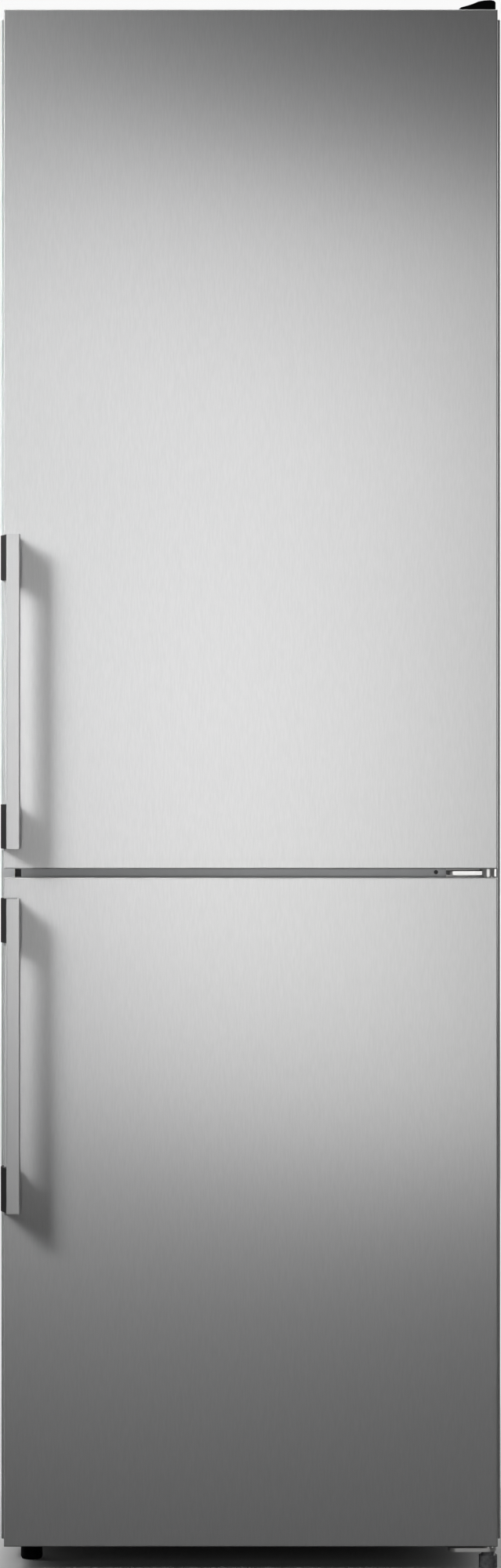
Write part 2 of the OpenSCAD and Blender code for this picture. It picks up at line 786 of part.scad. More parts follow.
// Panel over the evaporator with air slots and the fan's opening
module evaporator_cover() {
    y = [y_evaporator - evaporator_cover_t, y_evaporator];
    slot_w = 44;
    slot_h = 5;
    slot_x = 0.6 * x_freezer;
    slot_rise = 26;
    slot_gap = 224;
    slot_z = [z_step + slot_rise, z_step + slot_rise + slot_gap];
    color("white") difference() {
        along_y(y) round_rect([-x_freezer, z_step], [x_freezer, z_freezer[1]], liner_r);
        rod([0, y[0] - over, z_fan], [0, y[1] + over, z_fan], fan_d + 4);
        for (x = [-slot_x, 0, slot_x], z = slot_z, k = [0, 2, 4])
            span([x - slot_w / 2, y[0] - over, z + k * slot_h],
                 [x + slot_w / 2, y[1] + over, z + (k + 1) * slot_h]);
    }
}

// Fan motor on three legs behind the cover
module fan_motor() {
    motor_y = y_evaporator + motor_gap + fan_l + motor_gap;
    motor_d = 0.4 * fan_d;
    motor_l = 24;
    leg = 8;
    leg_r = fan_d / 2 + leg;
    leg_y = [motor_y + 6, motor_y + 12];
    color("dimgray") translate([0, 0, z_fan]) difference() {
        union() {
            rod([0, motor_y, 0], [0, motor_y + motor_l, 0], motor_d);
            for (a = [90, 210, 330]) rotate([0, a, 0]) {
                span([0, leg_y[0], -leg / 2], [leg_r + leg / 2, leg_y[1], leg / 2]);
                span([leg_r - leg / 2, y_evaporator, -leg / 2], [leg_r + leg / 2, leg_y[1], leg / 2]);
            }
        }
        rod([0, motor_y - over, 0], [0, motor_y + motor_l / 2, 0], fan_shaft_d + 2 * fit);
    }
}

// Fan with five pitched blades and its shaft
module fan_rotor() {
    y = [y_evaporator + motor_gap, y_evaporator + motor_gap + fan_l];
    hub_d = 0.3 * fan_d;
    blade_n = 5;
    blade_w = 0.9 * fan_l;
    blade_t = 1.6;
    blade_turn = 32;
    color("white") translate([0, 0, z_fan]) {
        rod([0, y[0], 0], [0, y[1], 0], hub_d);
        rod([0, y[1] - over, 0], [0, y[1] + motor_gap + 8, 0], fan_shaft_d);
        for (i = [0 : blade_n - 1]) rotate([0, i * 360 / blade_n, 0]) intersection() {
            rod([0, y[0], 0], [0, y[1], 0], fan_d);
            translate([hub_d / 4, (y[0] + y[1]) / 2, 0]) rotate([blade_turn, 0, 0])
                span([0, -blade_w / 2, -blade_t / 2], [fan_d / 2, blade_w / 2, blade_t / 2]);
        }
    }
}

// Air duct on the fridge's rear wall, open at its foot
module air_duct() {
    z_duct = [z_fridge[0] + 60, z_fridge[1] - 60];
    slot_x = 0.28 * duct_w;
    slot_w = 36;
    slot_h = 8;
    y = y_back - duct_d;
    color("white") difference() {
        span([-duct_w / 2, y, z_duct[0]], [duct_w / 2, y_back, z_duct[1]]);
        span([-duct_w / 2 + duct_t, y + duct_t, z_duct[0] - over],
             [duct_w / 2 - duct_t, y_back - duct_t, z_duct[1] - duct_t]);
        for (i = [0 : shelf_n], x = [-slot_x, slot_x])
            translate([x, 0, z_chiller_shelf + (i + 0.5) * shelf_pitch])
                span([-slot_w / 2, y - over, -slot_h / 2], [slot_w / 2, y + 2 * duct_t, slot_h / 2]);
    }
}

// Housing for the lamp and the thermostat under the fridge's ceiling
module control_housing() {
    color("white") difference() {
        along_z([z_housing, z_fridge[1]])
            low_rounded([-housing_w / 2, housing_y[0]], [housing_w / 2, housing_y[1]], housing_r);
        span([lamp_x[0], lamp_y[0], z_housing - over], [lamp_x[1], lamp_y[1], z_housing + lamp_seat]);
        translate([knob_at.x, knob_at.y, z_housing - over])
            cylinder(d = knob_shaft_d + 2 * fit, h = knob_shaft_l + 2 * over);
    }
}

// Clear cover of the lamp
module lamp_cover() {
    color("azure") difference() {
        span([lamp_x[0], lamp_y[0], z_housing - lamp_drop], [lamp_x[1], lamp_y[1], z_housing + lamp_seat]);
        span([lamp_x[0] + lamp_t, lamp_y[0] + lamp_t, z_housing - lamp_drop + lamp_t],
             [lamp_x[1] - lamp_t, lamp_y[1] - lamp_t, z_housing + lamp_seat + over]);
    }
}

// Thermostat knob, with a pointer rib and a shaft
module temperature_knob() {
    rib = 6;
    rib_l = knob_d / 2 - 1;
    color("lightgray") translate([knob_at.x, knob_at.y, z_housing - seat - knob_h]) {
        cylinder(d = knob_d, h = knob_h);
        span([-rib / 2, -rib_l, -rib + over], [rib / 2, rib_l, over]);
        cylinder(d = knob_shaft_d, h = knob_h + knob_shaft_l);
    }
}

// Glass shelves of the fridge
module fridge_shelves() {
    x = x_fridge - shelf_slack;
    color("lightcyan") for (z = shelf_levels) span([-x, y_shelf, z], [x, shelf_rear, z + glass_t]);
}

// Trims under and before the front edges of the fridge's shelves
module shelf_trims() {
    x = x_fridge - shelf_slack;
    x_under = x_fridge - rib_w - 1;
    lip = 2;
    color("whitesmoke") for (z = shelf_levels) {
        span([-x, y_shelf - trim_t, z - lip], [x, y_shelf, z + glass_t]);
        span([-x_under, y_shelf - over, z - lip], [x_under, y_shelf + 14, z]);
    }
}

// Glass shelves of the freezer
module freezer_shelves() {
    x = x_freezer - shelf_slack;
    color("lightcyan") for (z = freezer_levels) span([-x, y_drawer, z], [x, drawer_rear, z + glass_t]);
}

// A drawer with a thick front and a grip notch
module drawer(x, y, z) {
    side_drop = 8;
    corner_r = 8;
    notch_w = 0.66 * x;
    notch_r = 10;
    difference() {
        union() {
            tray([-x, y[0] + front_t - tray_t, z[0]], [x, y[1], z[1] - side_drop], tray_t, corner_r);
            span([-x, y[0], z[0]], [x, y[0] + front_t, z[1]]);
        }
        along_y([y[0] - over, y[0] + front_t + over])
            round_rect([-notch_w / 2, z[1] - notch_h], [notch_w / 2, z[1] + notch_h], notch_r);
    }
}

// Salad crisper on the fridge's floor
module crisper_drawer() {
    color("aliceblue")
        drawer(x_fridge_tray, [y_shelf - trim_t, shelf_rear], [z_crisper, z_crisper + crisper_h]);
}

// Chiller drawer over the crisper
module chiller_drawer() {
    color("aliceblue")
        drawer(x_fridge_tray, [y_shelf - trim_t, shelf_rear], [z_chiller, z_chiller + chiller_h]);
}

// A drawer of the freezer over the level at its floor
module freezer_drawer(level, rear) {
    z_roof = level == 0 ? freezer_levels[0] : level == 1 ? freezer_levels[1] : z_freezer[1];
    z_floor = level == 0 ? z_freezer[0] + corner_rise : freezer_levels[level - 1] + glass_t;
    color("aliceblue")
        drawer(x_freezer_tray, [y_drawer - front_t, rear], [z_floor + seat, z_roof - run_gap]);
}

// Short bottom drawer before the machine bay
module freezer_drawer_low() {
    freezer_drawer(0, low_drawer_rear);
}

// Middle drawer of the freezer
module freezer_drawer_mid() {
    freezer_drawer(1, drawer_rear);
}

// Top drawer of the freezer
module freezer_drawer_top() {
    freezer_drawer(2, drawer_rear);
}

// Top hinge: plate on the cabinet with the pin that holds the fridge door's top
module hinge_top() {
    color("silver") difference() {
        union() {
            along_z([z_top, z_top + thin_plate_t])
                low_rounded([top_plate_x[0], y_pin - eye_r + eye_in],
                            [top_plate_x[1], y_cab + plate_l], plate_r);
            translate([x_pin, y_pin, z_fridge_door[1] - pin_l])
                cylinder(d = pin_d, h = z_top - z_fridge_door[1] + pin_l + over);
        }
        for (p = top_screws) translate([p.x, p.y, z_top - over]) cylinder(d = screw_d, h = 2 * thin_plate_t);
    }
}

// Cover over the top hinge, rounded up from its left edge
module hinge_cover() {
    y = [y_pin - eye_r, y_cab + plate_l + cover_t];
    outer = [[0, 0], [0.08, 0.28], [0.27, 0.47], [0.4, 0.63], [0.55, 0.86], [0.69, 0.96], [0.87, 1],
             [0.96, 0.93], [1, 0.76], [1, 0]];
    inner = [
        [2 * cover_t, -over], [0.3 * cover_w, 0.47 * cover_h - cover_t / 2],
        [0.56 * cover_w, cover_h - 1.8 * cover_t], [0.7 * cover_w, cover_h - cover_t],
        [cover_w - 1.5 * cover_t, cover_h - cover_t], [cover_w - cover_t, 0.7 * cover_h],
        [cover_w - cover_t, -over]
    ];
    color("black") translate([x_door - cover_t - cover_w, 0, z_top]) difference() {
        along_y(y) polygon([for (p = outer) [p.x * cover_w, p.y * cover_h]]);
        along_y([y[0] + cover_t, y[1] - cover_t]) polygon(inner);
    }
}

// Middle hinge: plate with one pin up and one pin down, and the tab that holds it
module hinge_mid() {
    z_eye = [z_freezer_door[1] + 4 * seat, z_fridge_door[0] - seat];
    color("silver") difference() {
        union() {
            along_z([z_mid - plate_t / 2, z_mid + plate_t / 2])
                low_rounded([x_pin - plate_w, y_pin - eye_r + eye_in],
                            [x_pin + eye_r - eye_in, y_cab], plate_r);
            translate([x_pin, y_pin, z_eye[0]]) cylinder(r = eye_r, h = z_eye[1] - z_eye[0]);
            translate([x_pin, y_pin, z_freezer_door[1] - pin_l]) cylinder(d = pin_d, h = door_gap + 2 * pin_l);
            span([x_pin - plate_w, y_cab - thin_plate_t, z_mid - tab_h / 2],
                 [x_pin, y_cab, z_mid + tab_h / 2]);
        }
        screw_holes_in_tab();
    }
}

// Holes of the middle hinge's screws in its tab
module screw_holes_in_tab() {
    for (p = mid_screws) rod([p.x, y_cab - 2 * thin_plate_t, p.y], [p.x, y_cab + over, p.y], screw_d);
}

// Bottom hinge: plate under the cabinet with a hollow pin
module hinge_bottom() {
    pin_top = z_freezer_door[0] + pin_l;
    color("silver") difference() {
        union() {
            along_z([z_base - plate_t, z_base])
                low_rounded([low_plate_x[0], y_pin - eye_r], [low_plate_x[1], y_cab + plate_l], eye_r);
            translate([x_pin, y_pin, z_base - over]) cylinder(d = low_pin_d, h = pin_top - z_base + over);
        }
        translate([x_pin, y_pin, z_base - plate_t - over])
            cylinder(d = foot_hole_d, h = pin_top - z_base + plate_t);
        for (p = low_screws)
            translate([p.x, p.y, z_base - plate_t - over]) cylinder(d = screw_d, h = plate_t + 2 * over);
    }
}

// A screw whose head sits on z = 0 and whose shank runs down
module screw(l) {
    difference() {
        cylinder(d = head_d, h = head_h);
        translate([0, 0, head_h / 3]) cylinder(d = head_d / 2, h = head_h, $fn = 6);
    }
    translate([0, 0, -l]) cylinder(d = screw_d, h = l);
}

// Screws of the three hinges
module hinge_screws() {
    color("gray") {
        for (p = top_screws) translate([p.x, p.y, z_top + thin_plate_t]) screw(thin_plate_t + screw_l);
        for (p = low_screws)
            translate([p.x, p.y, z_base - plate_t]) rotate([180, 0, 0]) screw(plate_t + screw_l);
        for (p = mid_screws)
            translate([p.x, y_cab - thin_plate_t, p.y]) rotate([90, 0, 0]) screw(thin_plate_t + screw_l);
    }
}

// Left levelling foot with its screw
module foot_left() {
    rim = 3;
    color("black") translate([foot_left.x, foot_left.y, 0]) {
        cylinder(d1 = foot_d - rim, d2 = foot_d, h = rim);
        translate([0, 0, rim]) cylinder(d = foot_d, h = z_base - foot_travel / 2 - rim);
        cylinder(d = foot_screw_d, h = z_base + foot_screw_l);
    }
}

// Right levelling foot, which turns inside the bottom hinge's pin
module foot_right() {
    pad_h = 1.4;
    nut_h = 0.7 * foot_nut_d;
    neck_h = z_base - plate_t - seat - pad_h - nut_h;
    color("dimgray") translate([x_pin, y_pin, 0]) {
        cylinder(d = foot_nut_d / 2, h = pad_h);
        translate([0, 0, pad_h]) cylinder(d = foot_nut_d, h = nut_h);
        translate([0, 0, pad_h + nut_h]) cylinder(d = 0.73 * foot_nut_d, h = neck_h);
        cylinder(d = foot_screw_d, h = z_base + pin_l - 2 * pad_h);
    }
}

// A rear roller on its axle
module roller(x) {
    axle_l = roller_w + 2 * (seat + ear_t + 1);
    color("dimgray") translate([x, roller_y, roller_d / 2]) {
        rod([-roller_w / 2, 0, 0], [roller_w / 2, 0, 0], roller_d);
        rod([-axle_l / 2, 0, 0], [axle_l / 2, 0, 0], axle_d);
    }
}

// Left rear roller
module roller_left() {
    roller(-roller_x);
}

// Right rear roller
module roller_right() {
    roller(roller_x);
}

// A door's outside, or its space inside the sheet when g is the sheet's thickness
module door_form(z, g) {
    intersection() {
        along_z([z[0] + g, z[1] - g])
            low_rounded([-x_door + g, y_door + g], [x_door - g, y_door_back - g], bend_r - g);
        along_x([-x_door + g, x_door - g])
            low_rounded([z[0] + g, y_door + g], [z[1] - g, y_door_back - g], bend_r - g);
    }
}

// The bushes of a door as solid bars
module bush_bars(z, d) {
    translate([x_pin, y_pin, z[0]]) cylinder(d = d, h = bush_l);
    translate([x_pin, y_pin, z[1] - bush_l]) cylinder(d = d, h = bush_l);
}

// Steel skin of a door, folded in round the back
module door_panel(z) {
    color("silver") difference() {
        door_form(z, 0);
        door_form(z, sheet_t);
        span([-x_door + return_w, y_door_back - 2 * sheet_t, z[0] + return_w],
             [x_door - return_w, y_door_back + over, z[1] - return_w]);
        bush_bars(z, bush_d);
    }
}

// Plastic bushes in a door's hinge corners, with a bore for each pin
module door_bushes(z, low_d, top_d) {
    bore_l = pin_l + 1;
    color("gray") difference() {
        bush_bars(z, bush_d);
        translate([x_pin, y_pin, z[0] - over]) cylinder(d = low_d, h = bore_l + over);
        translate([x_pin, y_pin, z[1] - bore_l]) cylinder(d = top_d, h = bore_l + over);
    }
}

// The ridge round the inside of a door, shrunk by g
module ridge(x, z, y, g) {
    inner_r = liner_r / 3;
    along_y(y) difference() {
        round_rect([-x + g, z[0] + g], [x - g, z[1] - g], liner_r - g);
        round_rect([-x + ridge_w - g, z[0] + ridge_w - g], [x - ridge_w + g, z[1] - ridge_w + g], inner_r + g);
    }
}

// Insulation in a door and in its ridge
module door_foam(z, ridge_x, ridge_z) {
    color("khaki") difference() {
        union() {
            door_form(z, sheet_t);
            ridge(ridge_x, ridge_z, [y_door_back - 2 * liner_t, y_door_back + ridge_d - liner_t], liner_t);
        }
        difference() {
            span([-x_door + return_w, y_door_back - liner_t, z[0] + return_w],
                 [x_door - return_w, y_door_back + over, z[1] - return_w]);
            ridge(ridge_x, ridge_z, [y_door_back - 2 * liner_t, y_door_back + 2 * over], liner_t);
        }
        bush_bars(z, bush_d);
    }
}

// White inner lining of a door with its ridge
module door_liner(z, ridge_x, ridge_z) {
    color("white") difference() {
        union() {
            span([-x_door + return_w, y_door_back - liner_t, z[0] + return_w],
                 [x_door - return_w, y_door_back, z[1] - return_w]);
            ridge(ridge_x, ridge_z, [y_door_back - liner_t, y_door_back + ridge_d], 0);
        }
        ridge(ridge_x, ridge_z, [y_door_back - 2 * liner_t, y_door_back + ridge_d - liner_t], liner_t);
    }
}

// A flat frame inside a door's outline, inset by g, of width w
module frame(z, y, g, w) {
    along_y(y) difference() {
        translate([-x_door + g, z[0] + g]) square([2 * (x_door - g), z[1] - z[0] - 2 * g]);
        translate([-x_door + g + w, z[0] + g + w])
            square([2 * (x_door - g - w), z[1] - z[0] - 2 * (g + w)]);
    }
}

// Magnetic gasket round a door's back, with a foot and a narrower bulb
module gasket(z) {
    foot_t = 4;
    step = 1.5;
    color("lightgray") {
        frame(z, [y_door_back, y_door_back + foot_t], gasket_inset, gasket_w);
        frame(z, [y_door_back + foot_t, y_cab - seat], gasket_inset + step, gasket_w - 2 * step);
    }
}

// Steel bar of a handle
module handle_bar(z) {
    y = y_door - handle_reach;
    x = -x_door + handle_inset;
    color("silver") along_z(z) round_rect([x, y], [x + handle_w, y + handle_t], handle_r);
}

// Black brackets of a handle, sloped back from the bar to the door's side
module handle_brackets(z) {
    y = y_door - handle_reach + handle_t;
    x = -x_door + handle_inset;
    outline = [
        [x, y], [x + bracket_w, y], [x + bracket_w, y_door], [-x_door, y_door],
        [-x_door, y_door + bracket_wrap], [-x_door - bracket_t, y_door + bracket_wrap],
        [-x_door - bracket_t, y_door + bend_r]
    ];
    color("black") {
        along_z([z[0], z[0] + bracket_l]) polygon(outline);
        along_z([z[1] - bracket_l, z[1]]) polygon(outline);
    }
}

// A door bin with ledges that rest on the door's lugs
module door_bin(z, h) {
    bin_r = 4.5;
    ledge_w = x_ridge - ridge_w - seat - x_bin;
    color("aliceblue") {
        tray([-x_bin, y_bin, z], [x_bin, y_bin + bin_d, z + h], tray_t, bin_r);
        both_sides()
            span([x_bin - over, lug_y[0], z + ledge_z], [x_bin + ledge_w, lug_y[1], z + ledge_z + ledge_h]);
    }
}

// Lugs on the fridge door's ridge that carry the bins
module bin_lugs() {
    x = x_ridge - ridge_w;
    color("white") for (z = z_bins) both_sides()
        span([x - lug_w, lug_y[0], z + ledge_z - lug_h], [x + over, lug_y[1], z + ledge_z - seat]);
}

// Lowest bin of the fridge door, for bottles
module bottle_bin() {
    door_bin(z_bins[0], bottle_bin_h);
}

// Second bin of the fridge door
module door_bin_low() {
    door_bin(z_bins[1], bin_h);
}

// Third bin of the fridge door
module door_bin_mid() {
    door_bin(z_bins[2], bin_h);
}

// Top bin of the fridge door
module door_bin_top() {
    door_bin(z_bins[3], bin_h);
}

// Fridge door
module fridge_door_panel() {
    door_panel(z_fridge_door);
}
module fridge_door_bushes() {
    door_bushes(z_fridge_door, bush_hole_d, bush_hole_d);
}
module fridge_door_foam() {
    door_foam(z_fridge_door, x_ridge, z_ridge);
}
module fridge_door_liner() {
    door_liner(z_fridge_door, x_ridge, z_ridge);
    bin_lugs();
}
module fridge_gasket() {
    gasket(z_fridge_door);
}
module fridge_handle_bar() {
    handle_bar(z_fridge_handle);
}
module fridge_handle_brackets() {
    handle_brackets(z_fridge_handle);
}

// Freezer door
module freezer_door_panel() {
    door_panel(z_freezer_door);
}
module freezer_door_bushes() {
    door_bushes(z_freezer_door, low_bush_hole_d, bush_hole_d);
}
module freezer_door_foam() {
    door_foam(z_freezer_door, x_freezer_ridge, z_freezer_ridge);
}
module freezer_door_liner() {
    door_liner(z_freezer_door, x_freezer_ridge, z_freezer_ridge);
}
module freezer_gasket() {
    gasket(z_freezer_door);
}
module freezer_handle_bar() {
    handle_bar(z_freezer_handle);
}
module freezer_handle_brackets() {
    handle_brackets(z_freezer_handle);
}

cabinet_shell();
back_panel();
base_plate();
cabinet_foam();
fridge_liner();
freezer_liner();
mid_rail();
mid_rail_ends();
machine_tray();
compressor();
compressor_mounts();
terminal_box();
refrigerant_pipes();
drain_pan();
condenser_tube();
condenser_wires();
wall_spacers();
evaporator();
evaporator_cover();
fan_motor();
fan_rotor();
air_duct();
control_housing();
lamp_cover();
temperature_knob();
fridge_shelves();
shelf_trims();
freezer_shelves();
crisper_drawer();
chiller_drawer();
freezer_drawer_low();
freezer_drawer_mid();
freezer_drawer_top();
hinge_top();
hinge_cover();
hinge_mid();
hinge_bottom();
hinge_screws();
foot_left();
foot_right();
roller_left();
roller_right();
fridge_door_panel();
fridge_door_bushes();
fridge_door_foam();
fridge_door_liner();
fridge_gasket();
fridge_handle_bar();
fridge_handle_brackets();
bottle_bin();
door_bin_low();
door_bin_mid();
door_bin_top();
freezer_door_panel();
freezer_door_bushes();
freezer_door_foam();
freezer_door_liner();
freezer_gasket();
freezer_handle_bar();
freezer_handle_brackets();
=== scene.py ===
import json
import math

import bpy
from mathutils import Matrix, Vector


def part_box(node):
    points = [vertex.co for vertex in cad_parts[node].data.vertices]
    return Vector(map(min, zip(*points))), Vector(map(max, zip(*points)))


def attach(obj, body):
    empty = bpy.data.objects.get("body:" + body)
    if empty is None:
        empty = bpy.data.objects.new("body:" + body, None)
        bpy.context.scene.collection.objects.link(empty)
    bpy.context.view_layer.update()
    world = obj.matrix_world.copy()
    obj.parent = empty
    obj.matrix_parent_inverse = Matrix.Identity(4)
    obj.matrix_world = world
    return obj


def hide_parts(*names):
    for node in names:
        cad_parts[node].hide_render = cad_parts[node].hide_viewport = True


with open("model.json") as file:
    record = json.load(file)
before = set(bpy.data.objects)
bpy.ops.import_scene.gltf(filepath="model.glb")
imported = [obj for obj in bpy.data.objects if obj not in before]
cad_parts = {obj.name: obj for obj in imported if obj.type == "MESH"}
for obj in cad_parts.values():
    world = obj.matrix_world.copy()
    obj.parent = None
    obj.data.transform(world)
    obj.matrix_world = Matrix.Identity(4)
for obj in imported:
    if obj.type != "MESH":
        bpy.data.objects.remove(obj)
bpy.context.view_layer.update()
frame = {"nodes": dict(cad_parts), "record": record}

door_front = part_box("fridge_door_panel")[0][1]


def photo_camera():
    """Straight on from 5 m in front of the doors, at the height that the gap and the hinges show."""
    aside, distance, eye_height = -0.0003, 5, 0.9258
    data = bpy.data.cameras.new("photo_camera")
    data.lens = 97.6
    data.sensor_width = 36
    camera = bpy.data.objects.new("photo_camera", data)
    camera.location = (aside, door_front - distance, eye_height)
    camera.rotation_euler = (math.radians(90), 0, 0)
    bpy.context.collection.objects.link(camera)
    bpy.context.scene.camera = camera


# The photograph shows no mains lead, so there is a camera and no cord.
photo_camera()


def linear(code):
    """An sRGB hex colour as the linear colour that a shader takes."""
    parts = [int(code[i:i + 2], 16) / 255 for i in (1, 3, 5)]
    return [p / 12.92 if p <= 0.04045 else ((p + 0.055) / 1.055) ** 2.4 for p in parts] + [1]


def add(tree, kind, links={}, **settings):
    """Adds a shader node. Each socket in links takes a value, or the output of another node."""
    made = tree.nodes.new("ShaderNode" + kind)
    for name, value in settings.items():
        setattr(made, name, value)
    for name, value in links.items():
        if isinstance(value, bpy.types.NodeSocket):
            tree.links.new(value, made.inputs[name])
        else:
            made.inputs[name].default_value = value
    return made


def surface(name, colour, **sockets):
    """A material with one shader whose even values sit on its own sockets."""
    material = bpy.data.materials.new(name)
    material.use_nodes = True
    tree = material.node_tree
    tree.nodes.clear()
    even = {key.replace("_", " "): value for key, value in sockets.items()}
    shader = add(tree, "BsdfPrincipled", {"Base Color": linear(colour), **even})
    add(tree, "OutputMaterial", {"Surface": shader.outputs["BSDF"]})
    return material, tree, shader


def mottle(tree, shader, size_mm, tones, roughness=None, grain=1):
    """Patches of two tones, and of two roughnesses where the process leaves them.

    The patches measure size_mm along X, Y and Z. Grain is how many finer sizes of them lie on each other.
    """
    place = add(tree, "TexCoord").outputs["Object"]
    sized = add(tree, "Mapping", {"Vector": place, "Scale": [1000 / mm for mm in size_mm]})
    cloud = add(tree, "TexNoise", {"Vector": sized.outputs["Vector"], "Scale": 1, "Detail": grain})
    # Noise seldom leaves this span, which is spread over both tones.
    low, high = 0.3, 0.7
    even = add(tree, "MapRange", {"Value": cloud.outputs["Fac"], "From Min": low, "From Max": high})
    patches = {"Factor": even.outputs["Result"], "A": linear(tones[0]), "B": linear(tones[1])}
    tone = add(tree, "Mix", patches, data_type="RGBA")
    tree.links.new(tone.outputs["Result"], shader.inputs["Base Color"])
    if roughness:
        dull = add(tree, "MapRange", {"Value": even.outputs["Result"], "To Min": roughness[0],
                                      "To Max": roughness[1]})
        tree.links.new(dull.outputs["Result"], shader.inputs["Roughness"])


def skin(tree, shader, size_mm, depth_mm):
    """The relief that a mould, roller or spray gun leaves: humps of size_mm that stand depth_mm proud."""
    place = add(tree, "TexCoord").outputs["Object"]
    humps = add(tree, "TexNoise", {"Vector": place, "Scale": 1000 / size_mm, "Detail": 2})
    bump = add(tree, "Bump", {"Height": humps.outputs["Fac"], "Distance": depth_mm / 1000, "Strength": 1})
    tree.links.new(bump.outputs["Normal"], shader.inputs["Normal"])


def brushed_stainless():
    """Door sheet, belt brushed upright and clear sealed: wide soft reflections with faint upright lines."""
    # The seal scatters light, so the sheet takes the handles' shadows, as a bare mirror would not.
    material, tree, shader = surface("brushed stainless steel", "#e4e4e4", Metallic=0.42, Roughness=0.186,
                                     Anisotropic=0.343)
    upright = add(tree, "Tangent", direction_type="RADIAL", axis="Z")
    tree.links.new(upright.outputs["Tangent"], shader.inputs["Tangent"])
    # Real brush lines are 0.1 to 0.3 mm wide and 10 to 20 mm long. They are drawn 1.5 mm wide to show.
    mottle(tree, shader, (1.5, 1.5, 14), ("#e1e1e1", "#e7e7e7"), grain=2)
    return material


def satin_stainless():
    """Handle bar, polished along its length: finer lines and a duller reflection than the doors."""
    material, tree, shader = surface("satin polished stainless steel", "#e4e4e4", Metallic=0.5,
                                     Roughness=0.24, Anisotropic=0.4)
    upright = add(tree, "Tangent", direction_type="RADIAL", axis="Z")
    tree.links.new(upright.outputs["Tangent"], shader.inputs["Tangent"])
    # Polishing lines under 0.1 mm wide are drawn 1.2 mm wide.
    mottle(tree, shader, (1.2, 1.2, 30), ("#e2e2e2", "#e6e6e6"), grain=2)
    return material


def lacquered_sheet():
    """Cabinet sheet, coil coated with silver-gray lacquer: an even satin with slight orange peel."""
    material, tree, shader = surface("silver coil-coated sheet steel", "#c2c3c4", Metallic=0.55,
                                     Roughness=0.36, Coat_Weight=0.25, Coat_Roughness=0.3)
    # The lacquer clouds over a few centimetres, and its orange peel has waves of 2 mm.
    mottle(tree, shader, (60, 60, 140), ("#c0c1c2", "#c4c5c6"), (0.35, 0.375))
    skin(tree, shader, 2, 0.01)
    return material


def galvanised_sheet():
    """Hot-dip zinc sheet: a dull gray with spangles that each reflect a little differently."""
    material, tree, shader = surface("hot-dip galvanised sheet steel", "#aeb1b4", Metallic=0.85,
                                     Roughness=0.45)
    # Spangles of minimised zinc are 4 to 8 mm across.
    spangle_mm = 7
    place = add(tree, "TexCoord").outputs["Object"]
    crystals = add(tree, "TexVoronoi", {"Vector": place, "Scale": 1000 / spangle_mm})
    facing = add(tree, "SeparateColor", {"Color": crystals.outputs["Color"]}).outputs["Red"]
    spangles = {"Factor": facing, "A": linear("#a4a7aa"), "B": linear("#bbbec1")}
    tone = add(tree, "Mix", spangles, data_type="RGBA")
    dull = add(tree, "MapRange", {"Value": facing, "To Min": 0.38, "To Max": 0.54})
    tree.links.new(tone.outputs["Result"], shader.inputs["Base Color"])
    tree.links.new(dull.outputs["Result"], shader.inputs["Roughness"])
    return material


def nickel_plated_steel():
    """Pressed hinge plates, dipped in matt nickel: a light gray metal that scatters some of the light."""
    material, tree, shader = surface("satin nickel plated steel", "#e6e5e3", Metallic=0.75, Roughness=0.32)
    mottle(tree, shader, (9, 9, 9), ("#e4e3e1", "#e8e7e5"), (0.30, 0.34))
    return material


def black_moulded_abs():
    """Black ABS from a deeply etched mould: nearly black at any slant, with hardly a sheen."""
    material, tree, shader = surface("black moulded ABS", "#0b0b0c", Roughness=0.6, IOR=1.52,
                                     Specular_IOR_Level=0.1)
    mottle(tree, shader, (25, 25, 25), ("#09090a", "#0f0f10"))
    # Etched grain of 0.3 mm is drawn at 0.7 mm.
    skin(tree, shader, 0.7, 0.012)
    return material


def silver_lacquered_abs():
    """ABS trim sprayed with silver lacquer: a soft gray sheen from the fine metal flakes in it."""
    flakes = 0.5
    material, tree, shader = surface("silver lacquered ABS", "#b9babb", Metallic=flakes, Roughness=0.26)
    # Flakes of 0.05 mm are drawn as soft clouds of 14 mm, as the eye joins them.
    mottle(tree, shader, (14, 14, 14), ("#b8b9ba", "#bcbdbe"), (0.25, 0.27))
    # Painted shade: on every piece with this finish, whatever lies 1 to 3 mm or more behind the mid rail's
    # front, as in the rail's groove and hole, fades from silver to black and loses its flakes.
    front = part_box("mid_rail")[0][1]
    shade_starts, shade_full = front + 0.001, front + 0.003
    depth = add(tree, "SeparateXYZ", {"Vector": add(tree, "TexCoord").outputs["Object"]}).outputs["Y"]
    painted_shade = add(tree, "MapRange", {"Value": depth, "From Min": shade_starts, "From Max": shade_full}).outputs["Result"]
    lacquer = shader.inputs["Base Color"].links[0].from_socket
    # The black of the painted shade, mixed in by depth.
    tone = add(tree, "Mix", {"Factor": painted_shade, "A": lacquer, "B": linear("#0b0b0c")}, data_type="RGBA")
    metal = add(tree, "MapRange", {"Value": painted_shade, "To Min": flakes, "To Max": 0})
    tree.links.new(tone.outputs["Result"], shader.inputs["Base Color"])
    tree.links.new(metal.outputs["Result"], shader.inputs["Metallic"])
    return material


def formed_polystyrene():
    """White polystyrene sheet, vacuum formed: glossy, and gently uneven where it stretched."""
    material, tree, shader = surface("white vacuum-formed polystyrene", "#e9ecec", Roughness=0.28, IOR=1.59,
                                     Coat_Weight=0.2, Coat_Roughness=0.14)
    mottle(tree, shader, (120, 120, 120), ("#e6e9e9", "#eceeee"))
    # The stretched sheet waves over 40 to 50 mm.
    skin(tree, shader, 45, 0.1)
    return material


def white_moulded_abs():
    """White ABS from a polished mould: a soft gloss with faint flow marks."""
    material, tree, shader = surface("white moulded ABS", "#e6e9e9", Roughness=0.34, IOR=1.52)
    mottle(tree, shader, (60, 60, 20), ("#e2e5e5", "#eaecec"))
    skin(tree, shader, 1.4, 0.01)
    return material


